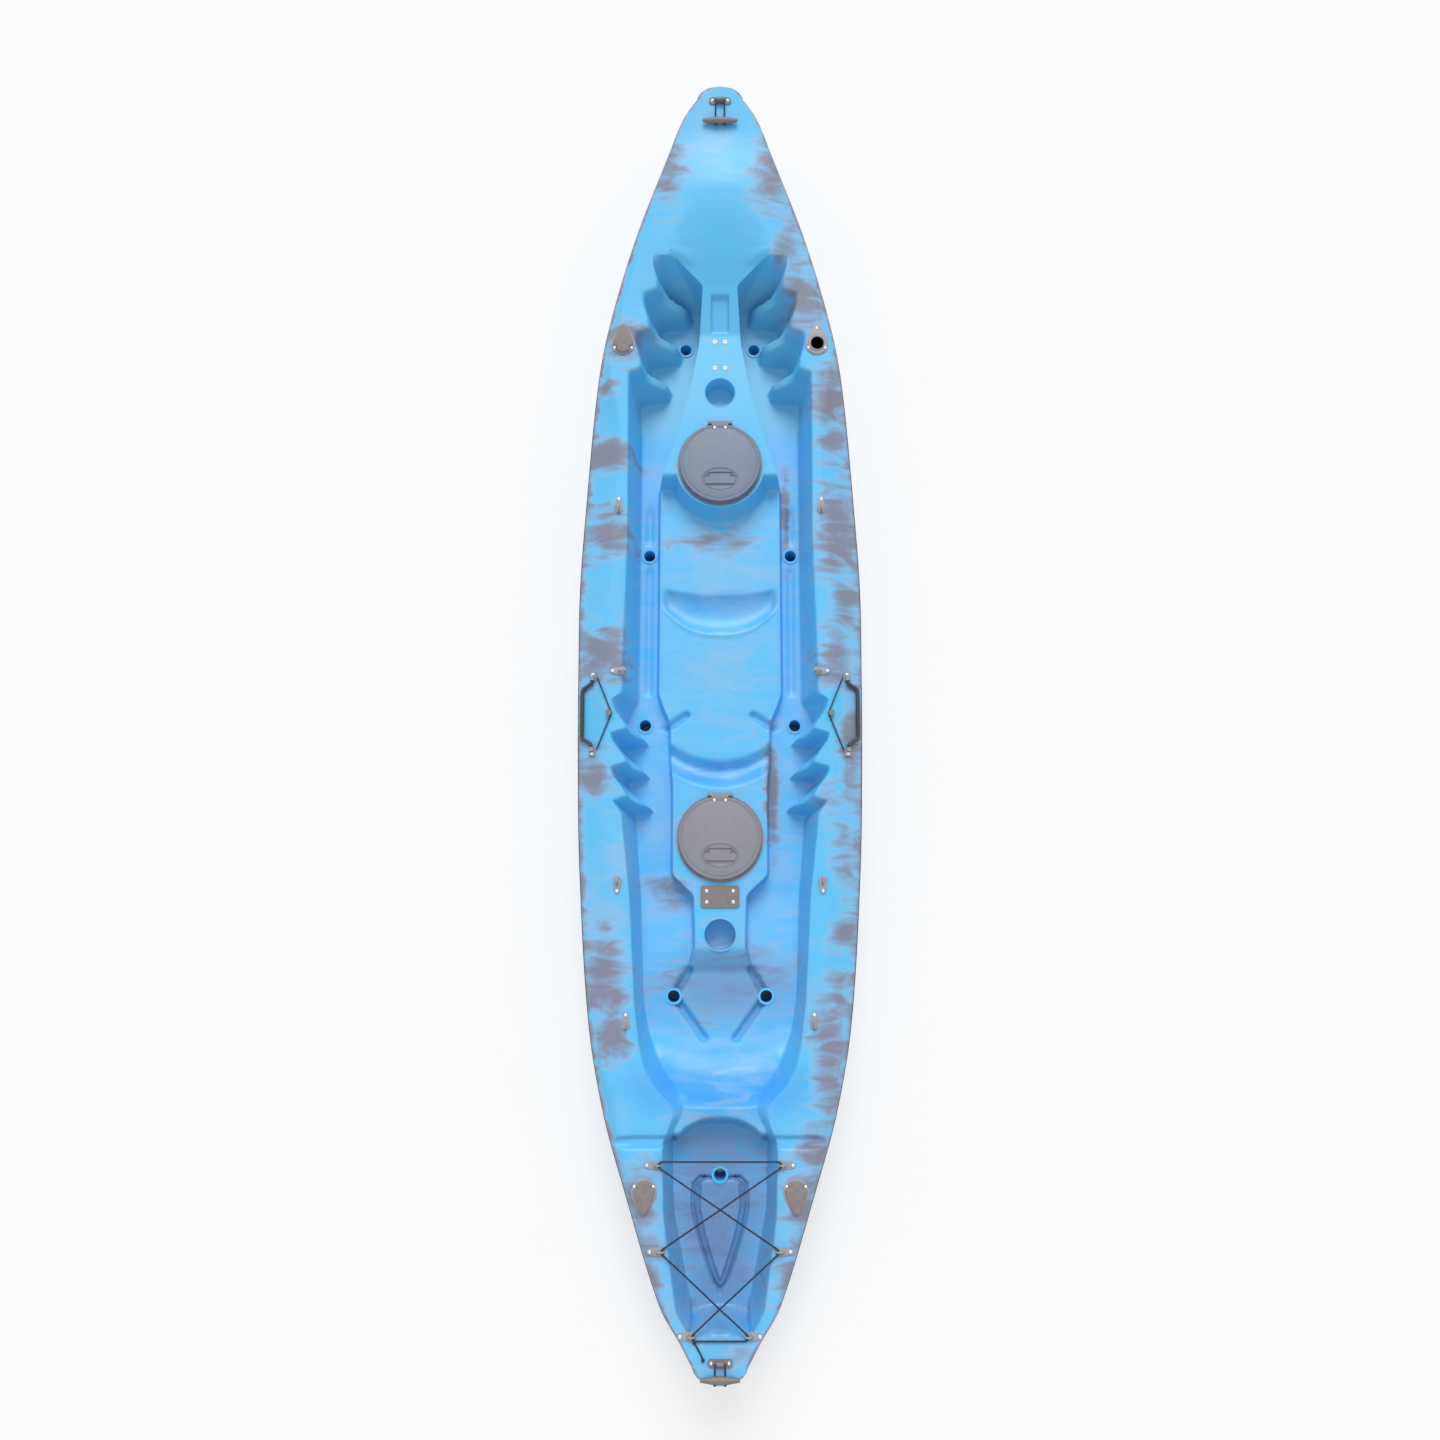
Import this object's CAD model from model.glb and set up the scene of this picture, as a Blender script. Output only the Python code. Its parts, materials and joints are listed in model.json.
import json
import math
from bisect import bisect_right

import bmesh
import bpy
from mathutils import Matrix, Vector


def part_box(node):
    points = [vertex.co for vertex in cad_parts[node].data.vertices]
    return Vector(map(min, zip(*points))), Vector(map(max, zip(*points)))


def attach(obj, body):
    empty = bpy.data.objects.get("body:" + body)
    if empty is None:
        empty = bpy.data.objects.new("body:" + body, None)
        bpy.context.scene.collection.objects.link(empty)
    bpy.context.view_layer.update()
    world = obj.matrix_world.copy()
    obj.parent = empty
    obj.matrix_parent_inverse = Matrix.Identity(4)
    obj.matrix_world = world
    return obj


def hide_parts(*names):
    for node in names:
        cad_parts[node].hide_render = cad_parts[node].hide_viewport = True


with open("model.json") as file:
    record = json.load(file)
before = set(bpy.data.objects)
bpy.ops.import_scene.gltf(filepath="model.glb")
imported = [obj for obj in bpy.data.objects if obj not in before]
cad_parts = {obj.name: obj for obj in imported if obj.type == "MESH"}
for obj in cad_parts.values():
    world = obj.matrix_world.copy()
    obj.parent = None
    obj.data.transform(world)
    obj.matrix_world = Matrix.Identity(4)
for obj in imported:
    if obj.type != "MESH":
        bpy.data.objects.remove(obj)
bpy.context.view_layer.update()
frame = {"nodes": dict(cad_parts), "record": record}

bl_info = {
    "name": "Tandem Kayak",
    "version": (1, 0, 0),
    "blender": (4, 5, 0),
    "location": "View3D > Sidebar > Kayak",
    "description": "Dresses the packed frame of a sit-on-top tandem kayak",
    "category": "Add Mesh",
}

# Shapes are worked out in millimetres and scaled to metres when a piece is finished
MM = 0.001
HALF_LENGTH = round(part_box("hull_shell")[1][1] / MM)
HALF_BEAM = 430
SIDES = (("left", -1), ("right", 1))
MIRROR = Matrix.Scale(-1, 4, (1, 0, 0))

# Levels of the moulding
DECK_MID, DECK_BOW, DECK_STERN = 290, 395, 345
EDGE_DROP, EDGE_WIDTH, WALL = 35, 88, 5
BOW_ROCKER, STERN_ROCKER, KEEL_FLAT = 225, 120, 900
FLOOR, PAN, REAR_SEAT, CONSOLE, MIDDLE, TANK, LEDGE = 130, 175, 150, 258, 195, 168, 280
# Power of the sheer's and the rocker's sweep, height of the bow deck's crown, and length of the round tips
SWEEP, CROWN, TIP = 2.2, 30, 40
# Stations, counted from the middle, between which the side deck's crease moves out to its share of the
# width and the gunwale's drop is halved, and those between which the bow deck's crown rises and falls
CREASE_OUT, CREASE_SHARE, DROP_HALVED = (800, 1050), 0.93, (900, 1500)
CROWN_RISE, CROWN_FALL = (1220, 1450), (1580, 1790)
# Gap under a fitting, and radii of the holes for scuppers, hatches, cups and rod holders
SEAT_GAP = 0.3
SCUPPER_HOLE, HATCH_HOLE, CUP_HOLE, HOLDER_HOLE = 21, 104, 48, 26

# Plan outline, as shares of the half length and the half beam
OUTLINE = ((-1, 0.09), (-0.985, 0.16), (-0.95, 0.25), (-0.9, 0.386), (-0.74, 0.628), (-0.63, 0.778),
           (-0.5, 0.888), (-0.27, 0.968), (-0.1, 0.992), (0.05, 0.999), (0.17, 0.997), (0.3, 0.963),
           (0.5, 0.89), (0.6, 0.812), (0.75, 0.617), (0.9, 0.362), (0.95, 0.27), (0.985, 0.15), (1, 0.08))


def rising(*rows):
    """Table of (station, value) rows, given from the bow aft, in rising order."""
    return tuple(sorted(rows))


# Half width of the raised middle of the deck, and the levels of its top and of the floor beside it
ISLAND = rising((1410, 175), (1360, 118), (1304, 54), (1131, 66), (1008, 88), (874, 120), (696, 178),
                (680, 188), (15, 188), (-30, 172), (-75, 152), (-190, 150), (-275, 142), (-540, 142),
                (-600, 78), (-760, 74), (-830, 95), (-870, 190), (-1000, 165), (-1130, 105), (-1204, 78),
                (-1262, 100), (-1750, 70))
ISLAND_TOP = rising((1640, 436), (1500, 385), (1400, 346), (1304, 306), (1160, CONSOLE), (690, CONSOLE),
                    (680, PAN), (-190, PAN), (-220, PAN - 30), (-248, PAN - 22), (-275, MIDDLE),
                    (-760, MIDDLE), (-830, REAR_SEAT), (-1020, REAR_SEAT), (-1090, REAR_SEAT + 12),
                    (-1150, REAR_SEAT + 48), (-1204, LEDGE), (-1236, LEDGE), (-1262, TANK),
                    (-1776, TANK), (-1812, 420))
FLOOR_TOP = rising((1410, 420), (1285, FLOOR), (-600, FLOOR), (-830, REAR_SEAT), (-1130, REAR_SEAT),
                   (-1204, LEDGE), (-1232, LEDGE), (-1262, TANK), (-1776, TANK), (-1812, 420))
# Half width of the wells at their floor and at the deck
WELL_FLOOR = rising((1410, 190), (1285, 165), (1200, 187), (955, 256), (874, 250), (-2, 250), (-70, 288),
                    (-318, 278), (-375, 258), (-600, 240), (-904, 228), (-1000, 212), (-1080, 182),
                    (-1130, 146), (-1170, 112), (-1204, 100), (-1236, 110), (-1262, 128), (-1300, 137),
                    (-1500, 134), (-1750, 84), (-1776, 64))
WELL_EDGE = rising((1410, 205), (1285, 240), (1036, 288), (480, 286), (164, 297), (-2, 300), (-16, 332),
                   (-318, 330), (-362, 296), (-600, 268), (-904, 250), (-1041, 234), (-1101, 220),
                   (-1150, 190), (-1180, 160), (-1204, 136), (-1236, 140), (-1262, 150), (-1300, 166),
                   (-1500, 160), (-1750, 125), (-1812, 84))
# Most of the half width that the raised middle, its foot, the wells' floor and the wells' edge take up
ISLAND_MOST, FOOT_MOST, BED_MOST, RIM_MOST = 0.62, 0.645, 0.68, 0.78
# Foot braces, as first tip, pitch, depth at the deck, depth at the floor, lag of the floor, and the
# shares of the pitch between which the floor's part rises
BRACES = ((1396, 127, 36, 86, 45, 0.45, 0.62), (-16, 102, 46, 70, 40, 0.1, 0.95))
# Braces in a row, length of their aft faces, and the shares between which the deck's part rises
BRACE_COUNT, BRACE_FACE, BRACE_TOP = 3, 14, (0, 0.9)
# Steps of a well's wall and of the roll at the deck's edge
WALL_STEPS, ROLL_STEPS = 18, 4
# Station of the flat ledge between the rear seat and the tank well
LEDGE_Y = -1218
# Bow of the seat pan's lines at the sides, as length and offset, and the stations it rises and falls between
PAN_BOW, PAN_RISE, PAN_FALL = (65, 170), (-430, -330), (-60, 0)
# Bow of the tank well's front and of the rear seat's back, as length, offset and power, and where the back's
# begins: offset, and stations counted aft
TANK_BOW, BACK_BOW = (45, 118, 2.6), (30, 115, 2.2)
BACK_FROM, BACK_START = 60, (900, 960)
# Reach of the rounding along the raised middle, what the rear seat's back adds to it, and the stations,
# counted aft, between which that rises and falls
ROUNDING, BACK_ROUNDING, BACK_RISE, BACK_FALL = 7, 33, (1020, 1100), (1150, 1215)
# Distances aft of the forward hatch's middle between which the console beside its platform falls away
CONSOLE_END = 32, 58
# Stations between which the raised middle runs out into the bow deck, and the one aft of which it is one
# with the floor beside it
FORE_END, ONE_FLOOR = (1350, 1412), -830

# Hatches and cup holders on the boat's middle, as station and level, and the two radii of the round
# platform under the forward hatch
HATCHES = (("front", 730, CONSOLE), ("middle", -430, MIDDLE))
CUPS = ((968, CONSOLE), (-718, MIDDLE))
PLATFORM = 138, 166
# Other fittings, as offset and station, with a turn in degrees where they have one
SCUPPERS = ((111, 1168), (224, 471), (233, -76), (139, -901))
TANK_SCUPPER_Y = -1411
ROD_HOLDERS = (("front_left", -302, 1102, 0), ("front_right", 302, 1102, 0),
               ("rear_left", -214, -1430, 180), ("rear_right", 214, -1430, 180))
GEAR_LOOPS = ((311, 603, 180), (324, 67, 90), (302, -591, 0), (272, -945, 180))
LACE_LOOPS = ((206, -1358, 90), (196, -1587, 90), (110, -1806, 90))
HANDLE = (383, -62)
HOOK_X = 334
BOW_SADDLE_Y, STERN_SADDLE_Y = HALF_LENGTH - 47, 57 - HALF_LENGTH

# Patches in the moulding's colour, as offset, station, two radii and strength: grey smoke, lavender haze,
# fuller blue in the hollows, and slate blue in the tank well and on the rear seat
PATCHES = {
    "smoke": (
        (-165, 1655, 50, 110, 1.0), (-285, 1110, 80, 65, 1.0), (-355, 960, 30, 25, 1.0),
        (-345, 755, 70, 45, 1.25), (-345, 490, 75, 70, 1.0), (-350, 115, 75, 90, 1.0),
        (-370, -250, 45, 60, 1.0), (-335, -835, 65, 115, 1.0), (-310, -1000, 45, 70, 1.0),
        (-225, -1455, 55, 85, 1.0), (-200, -1645, 45, 115, 1.0), (160, 1655, 60, 130, 1.0),
        (210, 1420, 50, 65, 1.0), (255, 1230, 80, 80, 1.0), (345, 930, 60, 95, 1.0),
        (355, 800, 45, 45, 1.0), (355, 510, 60, 155, 1.0), (380, 285, 45, 90, 1.0),
        (345, 100, 60, 75, 1.0), (390, -145, 30, 180, 1.0), (365, -705, 45, 45, 1.0),
        (315, -1070, 50, 175, 1.0), (270, -1320, 45, 70, 1.0), (225, -1455, 55, 85, 1.0),
        (200, -1670, 45, 115, 1.0), (0, 505, 130, 34, 0.8), (210, 605, 15, 125, 0.9),
        (160, -285, 20, 155, 1.2), (-150, -585, 65, 40, 0.9), (20, -850, 230, 120, 0.52),
        (0, -1560, 150, 300, 0.55), (330, -330, 45, 60, 0.6), (-120, 700, 30, 40, 0.4),
        (375, 650, 40, 120, 0.7), (350, 180, 60, 140, 0.6), (370, -480, 40, 150, 0.6),
        (345, -860, 45, 130, 0.7), (240, 1330, 60, 110, 0.7)),
    "haze": (
        (0, -880, 190, 90, 0.9), (0, 1720, 70, 110, 0.55), (0, -1595, 205, 260, 0.9),
        (0, 60, 150, 120, 0.6), (-350, -700, 60, 90, 1.1), (-290, -480, 60, 120, 0.8),
        (190, -500, 60, 160, 0.7), (300, 1390, 60, 90, 0.9)),
    "rich": ((0, -1150, 230, 80, 1.0), (0, 315, 150, 40, 0.8), (0, -225, 150, 40, 0.8)),
    "slate": ((0, -1500, 120, 210, 0.95), (0, -1700, 100, 90, 0.8), (10, -870, 190, 105, 0.7)),
}


def length_property(name, description, default):
    """A size of a piece, in metres."""
    return bpy.props.FloatProperty(name=name, description=description, default=default, unit="LENGTH")


class KayakSizes(bpy.types.PropertyGroup):
    """Sizes of the pieces that the frame leaves open."""

    lacing_diameter: length_property("Lacing diameter", "Diameter of the tank well's cord", 0.005)
    keeper_diameter: length_property("Keeper diameter", "Diameter of the paddle keepers", 0.004)
    toggle_cord: length_property("Toggle cord", "Diameter of the toggles' cords", 0.005)
    crescent_depth: length_property("Crescent depth", "Depth of the trough across the seat", 0.026)
    gutter_depth: length_property("Gutter depth", "Depth of the side gutters' grooves", 0.011)
    cup_depth: length_property("Cup depth", "Depth of the cup holders", 0.075)
    seam_radius: length_property("Seam radius", "Radius of the bead in the gunwale seam", 0.002)


def colour_property(name, default):
    """Colour as the eye sees it, three shares of full."""
    return bpy.props.FloatVectorProperty(name=name, description=name + " as seen", size=3, min=0, max=1,
                                         default=default, subtype="COLOR_GAMMA")


class KayakColours(bpy.types.PropertyGroup):
    """Colours of the finishes."""

    sky: colour_property("Sky blue of the moulding", (0.355, 0.76, 0.965))
    teal: colour_property("Pale blue of the footwells", (0.47, 0.79, 0.92))
    rich: colour_property("Fuller blue of the hollows", (0.24, 0.62, 0.95))
    slate: colour_property("Slate blue of the tank well", (0.40, 0.55, 0.73))
    smoke: colour_property("Grey of the moulding's smoke", (0.50, 0.49, 0.55))
    haze: colour_property("Lavender of the moulding's haze", (0.55, 0.755, 0.92))
    front_hatch: colour_property("Forward hatch", (0.47, 0.52, 0.60))
    middle_hatch: colour_property("Middle hatch", (0.545, 0.545, 0.575))
    cap: colour_property("Rod holder caps", (0.53, 0.49, 0.49))
    holder: colour_property("Rod holders", (0.62, 0.62, 0.64))
    dark: colour_property("Dark fittings", (0.24, 0.25, 0.28))
    loop: colour_property("Deck loops", (0.60, 0.61, 0.64))
    strap: colour_property("Side handle grips", (0.22, 0.23, 0.26))
    grey: colour_property("Grey fittings", (0.50, 0.48, 0.47))
    steel: colour_property("Screws and pins", (0.86, 0.86, 0.87))
    brass: colour_property("Threaded inserts", (0.74, 0.72, 0.66))
    cord: colour_property("Cords", (0.13, 0.17, 0.26))
    rubber: colour_property("Seals", (0.12, 0.12, 0.13))
    floor: colour_property("Floor", (0.97, 0.97, 0.97))


def smooth(low, high, value):
    """0 before low, 1 after high, with an eased step between."""
    t = min(1, max(0, (value - low) / (high - low)))
    return t * t * (3 - 2 * t)


def look(table, value):
    """Value of a table at a station, on straight lines between its rows."""
    i = bisect_right(table, (value, math.inf))
    if i == 0 or i == len(table):
        return table[min(i, len(table) - 1)][1]
    (a, low), (b, high) = table[i - 1], table[i]
    return low + (high - low) * (value - a) / (b - a)


def eased(table, value, reach=12):
    """A table's value with its corners rounded off."""
    weights = (1, 2, 3, 4, 3, 2, 1)
    return sum(k * look(table, value + reach * (i - 3) / 3) for i, k in enumerate(weights)) / sum(weights)


def curve(table, value):
    """A smooth curve through a table's rows."""
    i = min(max(bisect_right(table, (value, math.inf)) - 1, 0), len(table) - 2)
    a, b, c, d = (table[min(max(k, 0), len(table) - 1)] for k in range(i - 1, i + 3))
    h = c[0] - b[0]
    t = min(1, max(0, (value - b[0]) / h))
    m = (c[1] - a[1]) / (c[0] - a[0]) * h
    n = (d[1] - b[1]) / (d[0] - b[0]) * h
    return b[1] + t * (m + t * (3 * (c[1] - b[1]) - 2 * m - n + t * (m + n - 2 * (c[1] - b[1]))))


def ramp(t, ends=0.2):
    """A straight slope from 0 to 1 with both of its ends rounded."""
    t = min(1, max(0, t))
    k = 1 / (2 * ends * (1 - ends))
    if t < ends:
        return k * t * t
    if t > 1 - ends:
        return 1 - k * (1 - t) ** 2
    return k * ends * (2 * t - ends)


def half_width(y):
    """Half of the boat's width at a station."""
    return HALF_BEAM * curve(OUTLINE, y / HALF_LENGTH)


def side_deck(y):
    """Height of the side decks, which sweep up to both ends."""
    end = DECK_BOW if y > 0 else DECK_STERN
    return DECK_MID + (end - DECK_MID) * abs(y / HALF_LENGTH) ** SWEEP


def crease(y, w):
    """Offset of the line where the side deck starts to fall to the gunwale."""
    k = smooth(*CREASE_OUT, abs(y))
    return (1 - k) * (w - EDGE_WIDTH) + k * CREASE_SHARE * w


def gunwale(y):
    """Height of the seam between deck and hull."""
    return side_deck(y) - EDGE_DROP * (1 - 0.5 * smooth(*DROP_HALVED, abs(y)))


def crown(y):
    """Rise of the bow deck's middle over its sides."""
    return CROWN * smooth(*CROWN_RISE, y) * (1 - smooth(*CROWN_FALL, y))


def keel(y):
    """Height of the keel, which lifts towards both ends."""
    rocker = BOW_ROCKER if y > 0 else STERN_ROCKER
    return rocker * max(0, (abs(y) - KEEL_FLAT) / (HALF_LENGTH - KEEL_FLAT)) ** SWEEP


# The frame's deck runs straight between these stations, and the fittings stand on it
STATIONS = sorted({i * HALF_LENGTH / 14 for i in range(-12, 13)}
                  | {s * (HALF_LENGTH - d) for d in (0, 12, 40, 80, 135) for s in (-1, 1)})
FRAME_TABLES = ([(y, crease(y, half_width(y))) for y in STATIONS], [(y, half_width(y)) for y in STATIONS],
                [(y, side_deck(y)) for y in STATIONS], [(y, gunwale(y)) for y in STATIONS])


def section(x, bend, width, side, low, rise):
    """Height of an undisturbed deck: crowned as far as the crease, then falling to the gunwale."""
    k = max(0, (x - bend) / max(1, width - bend))
    share = min(1, x / bend)
    return side * (1 - k) + low * k + rise * (1 - share * share)


def deck_level(x, y):
    """Height of the frame's undisturbed deck."""
    return section(abs(x), *(look(table, y) for table in FRAME_TABLES), crown(y))


def on_deck(x, y, turn=0, reach=3):
    """Matrix that stands a fitting square on the deck."""
    pitch = math.atan((deck_level(x, y + reach) - deck_level(x, y - reach)) / (2 * reach))
    roll = math.atan((deck_level(x + reach, y) - deck_level(x - reach, y)) / (2 * reach))
    return (Matrix.Translation((x, y, deck_level(x, y) + SEAT_GAP)) @ Matrix.Rotation(-roll, 4, "Y")
            @ Matrix.Rotation(pitch, 4, "X") @ Matrix.Rotation(math.radians(turn), 4, "Z"))


def both_sides(places):
    """Matrices of fittings that stand on both sides of the boat."""
    starboard = [on_deck(*p) for p in places]
    return starboard + [MIRROR @ m for m in starboard]


# Materials
GRAIN_DEPTH = 0.0004
FINISHES = {}
# Plain finishes, as name, colour, roughness and spread of the mottling
PLASTICS = (("front_hatch_grey", "front_hatch", 0.5, 0.03), ("middle_hatch_grey", "middle_hatch", 0.5, 0.03),
            ("cap_grey", "cap", 0.55, 0.08), ("deck_loop", "loop", 0.4, 0.1),
            ("handle_strap", "strap", 0.5, 0.1), ("fitting_black", "dark", 0.42, 0.1),
            ("fitting_grey", "grey", 0.5, 0.08), ("gasket", "rubber", 0.7, 0.15))
# The same with the share of metal
METALS = (("steel", "steel", 0.22, 0.03, 1), ("insert_brass", "brass", 0.4, 0.05, 0.6))
# Frame nodes whose finish differs from that of their slot, without the first word of their names
SPECIAL = {"handle_anchors": "deck_loop", "latch_pin": "fitting_grey"}


def rgba(colour, factor=1):
    """Linear light of a colour as the eye sees it, times a factor."""
    light = [c / 12.92 if c <= 0.04045 else ((c + 0.055) / 1.055) ** 2.4 for c in colour]
    return [min(1, c * factor) for c in light] + [1]


def add_node(tree, kind, inputs=(), **settings):
    """A new node, its inputs set to plain values or linked to other nodes' outputs."""
    made = tree.nodes.new(kind)
    for key, value in settings.items():
        setattr(made, key, value)
    for key, source in dict(inputs).items():
        if isinstance(source, bpy.types.NodeSocket):
            tree.links.new(source, made.inputs[key])
        else:
            made.inputs[key].default_value = source
    return made


class Finish:
    """A node material under way: nodes are added and linked by short calls."""

    def __init__(self, name, roughness, metallic=0):
        self.material = bpy.data.materials.new(name)
        self.material.use_nodes = True
        self.tree = self.material.node_tree
        self.shader = self.tree.nodes["Principled BSDF"]
        self.shader.inputs["Roughness"].default_value = roughness
        self.shader.inputs["Metallic"].default_value = metallic
        self.place = self.node("ShaderNodeTexCoord").outputs["Object"]

    def node(self, kind, inputs=(), **settings):
        return add_node(self.tree, kind, inputs, **settings)

    def noise(self, scale, detail=3, stretch=(1, 1, 1), distortion=0):
        place = self.node("ShaderNodeMapping", {"Scale": stretch, "Vector": self.place}).outputs["Vector"]
        inputs = {"Scale": scale, "Detail": detail, "Distortion": distortion, "Vector": place}
        return self.node("ShaderNodeTexNoise", inputs).outputs["Fac"]

    def mapped(self, source, low, high, to_low=0, to_high=1):
        inputs = {"Value": source, "From Min": low, "From Max": high, "To Min": to_low, "To Max": to_high}
        return self.node("ShaderNodeMapRange", inputs, interpolation_type="SMOOTHSTEP").outputs["Result"]

    def mixed(self, share, first, second):
        return self.node("ShaderNodeMix", {0: share, 6: first, 7: second}, data_type="RGBA").outputs[2]

    def mottled(self, colour, spread, scale=60):
        share = self.mapped(self.noise(scale), 0.3, 0.7)
        return self.mixed(share, rgba(colour, 1 - spread), rgba(colour, 1 + spread))

    def attribute(self, name):
        return self.node("ShaderNodeAttribute", attribute_name=name).outputs["Fac"]

    def sum(self, first, second, operation="ADD"):
        return self.node("ShaderNodeMath", {0: first, 1: second}, operation=operation).outputs[0]

    def kept(self, name, colour, grain_scale, grain):
        """Ends the material with its colour and a fine grain, and keeps it under a name."""
        height = self.noise(grain_scale, 2)
        bump = self.node("ShaderNodeBump", {"Strength": grain, "Distance": GRAIN_DEPTH, "Height": height})
        self.tree.links.new(colour, self.shader.inputs["Base Color"])
        self.tree.links.new(bump.outputs["Normal"], self.shader.inputs["Normal"])
        FINISHES[name] = self.material


def moulding_finish(colours):
    """Marbled plastic: blue that pales in the footwells, streaked with lavender haze and grey smoke."""
    finish = Finish("marbled_moulding", 0.42)
    lavender, grey = rgba(colours.haze), rgba(colours.smoke)
    pale = finish.mapped(finish.attribute("depth"), 0.15, 1.0)
    blue = finish.mixed(pale, rgba(colours.sky), rgba(colours.teal))
    fuller = finish.mapped(finish.attribute("rich"), 0.1, 0.9, 0, 0.75)
    blue = finish.mixed(fuller, blue, rgba(colours.rich))
    drift = finish.mapped(finish.noise(5, 5, (1.6, 0.8, 1)), 0.45, 0.75, 0, 0.4)
    blue = finish.mixed(drift, blue, lavender)
    streaks = finish.sum(finish.noise(9, 7, (0.8, 2.4, 1), 1.1), 0.5, "SUBTRACT")
    streaks = finish.sum(streaks, 1.9, "MULTIPLY")
    for name, colour, low, high, most in (("haze", lavender, 0.15, 0.9, 0.7),
                                          ("smoke", lavender, 0.08, 0.5, 0.65),
                                          ("smoke", grey, 0.26, 1.0, 0.9)):
        strength = finish.attribute(name)
        amount = finish.mapped(finish.sum(strength, streaks), low, high, 0, most)
        patch = finish.sum(amount, finish.mapped(strength, 0.02, 0.2), "MULTIPLY")
        blue = finish.mixed(patch, blue, colour)
    tint = finish.mapped(finish.attribute("slate"), 0.05, 0.8, 0, 0.75)
    finish.kept("moulding", finish.mixed(tint, blue, rgba(colours.slate)), 700, 0.12)


def make_finishes():
    """Makes every finish and gives each of the frame's nodes its own."""
    colours = bpy.context.scene.kayak_colours
    moulding_finish(colours)
    for name, colour, roughness, spread in PLASTICS:
        finish = Finish(name, roughness)
        finish.kept(name, finish.mottled(getattr(colours, colour), spread), 900, 0.15)
    for name, colour, roughness, spread, metallic in METALS:
        finish = Finish(name, roughness, metallic)
        finish.kept(name, finish.mottled(getattr(colours, colour), spread, 200), 900, 0.05)
    finish = Finish("holder_plastic", 0.45)
    flange = finish.mottled(colours.holder, 0.06)
    black = (0.006, 0.006, 0.008, 1)
    finish.kept("holder_black", finish.mixed(finish.attribute("bore"), flange, black), 900, 0.15)
    finish = Finish("woven_cord", 0.8)
    fleck = finish.mapped(finish.noise(700, 1), 0.52, 0.6)
    finish.kept("cord", finish.mixed(fleck, rgba(colours.cord), rgba(colours.cord, 1.9)), 1500, 0.4)
    slots = {row["node"]: row["material_slot"] for row in frame["record"]["subparts"]}
    for name, node in frame["nodes"].items():
        node.data.materials.clear()
        node.data.materials.append(FINISHES[SPECIAL.get(name.partition("_")[2], slots[name])])


# Mesh helpers
def added(name, data):
    """A new object in the scene."""
    made = bpy.data.objects.new(name, data)
    bpy.context.scene.collection.objects.link(made)
    return made


def meshed(name, bm):
    """A mesh from a bmesh, which is freed."""
    mesh = bpy.data.meshes.new(name)
    bm.to_mesh(mesh)
    bm.free()
    return mesh


def turns(count):
    """Equal turns right round."""
    return [math.tau * k / count for k in range(count)]


def loft(rings, closed=False):
    """A skin extruded through rings of points that all have the same count, with its ends capped."""
    bm = bmesh.new()
    verts = [bm.verts.new(p) for p in rings[0]]
    first = [bm.edges.new((verts[i], verts[(i + 1) % len(verts)])) for i in range(len(verts))]
    if not closed:
        bm.faces.new(verts)
    edges = first
    for ring in rings[1:]:
        made = bmesh.ops.extrude_edge_only(bm, edges=edges)["geom"]
        fresh = {v for v in made if isinstance(v, bmesh.types.BMVert)}
        follow = {e.other_vert(v): v for v in fresh for e in v.link_edges if e.other_vert(v) not in fresh}
        verts = [follow[v] for v in verts]
        for v, p in zip(verts, ring):
            v.co = p
        edges = [bm.edges.get((verts[i], verts[(i + 1) % len(verts)])) for i in range(len(verts))]
    if closed:
        bmesh.ops.bridge_loops(bm, edges=first + edges)
    else:
        bm.faces.new(verts)
    return bm


def turned(profile, steps=48, axis="Z"):
    """A profile of (radius, height) points spun right round an axis."""
    bm = bmesh.new()
    verts = [bm.verts.new((r, 0, z)) for r, z in profile]
    edges = [bm.edges.new(pair) for pair in zip(verts, verts[1:])]
    bmesh.ops.spin(bm, geom=verts + edges, cent=(0, 0, 0), axis=(0, 0, 1), angle=math.tau, steps=steps,
                   use_merge=True)
    bmesh.ops.remove_doubles(bm, verts=bm.verts, dist=0.001)
    if axis == "X":
        bmesh.ops.rotate(bm, verts=bm.verts, matrix=Matrix.Rotation(math.pi / 2, 3, "Y"))
    return bm


def block(low, high, bevel):
    """A box between two corners with its edges rounded."""
    bm = bmesh.new()
    bmesh.ops.create_cube(bm, size=1)
    low, high = Vector(low), Vector(high)
    bmesh.ops.scale(bm, verts=bm.verts, vec=high - low)
    bmesh.ops.translate(bm, verts=bm.verts, vec=(low + high) / 2)
    bmesh.ops.bevel(bm, geom=bm.edges[:], offset=bevel, affect="EDGES", segments=2, profile=0.5, material=-1)
    return bm


def tube(path, radius, closed=False, sides=12):
    """A round tube along a path, its radius a number or one for each point."""
    path = [Vector(p) for p in path]
    count = len(path)
    radii = radius if isinstance(radius, (list, tuple)) else [radius] * count
    rings = []
    for i, p in enumerate(path):
        back = path[i - 1] if closed or i else p
        ahead = path[(i + 1) % count] if closed or i < count - 1 else p
        heading = (ahead - back).normalized()
        side = heading.cross(Vector((0, 0, 1)))
        side = side.normalized() if side.length > 0.05 else Vector((1, 0, 0))
        rise = side.cross(heading).normalized()
        rings.append([p + radii[i] * (math.cos(a) * side + math.sin(a) * rise) for a in turns(sides)])
    return loft(rings, closed)


def stamp(bm, part, matrices):
    """Copies of a part at each matrix."""
    mesh = meshed("stamp", part)
    for matrix in matrices:
        start = len(bm.verts)
        bm.from_mesh(mesh)
        bm.verts.ensure_lookup_table()
        bmesh.ops.transform(bm, matrix=matrix, verts=bm.verts[start:])
    bpy.data.meshes.remove(mesh)
    return bm


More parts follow.
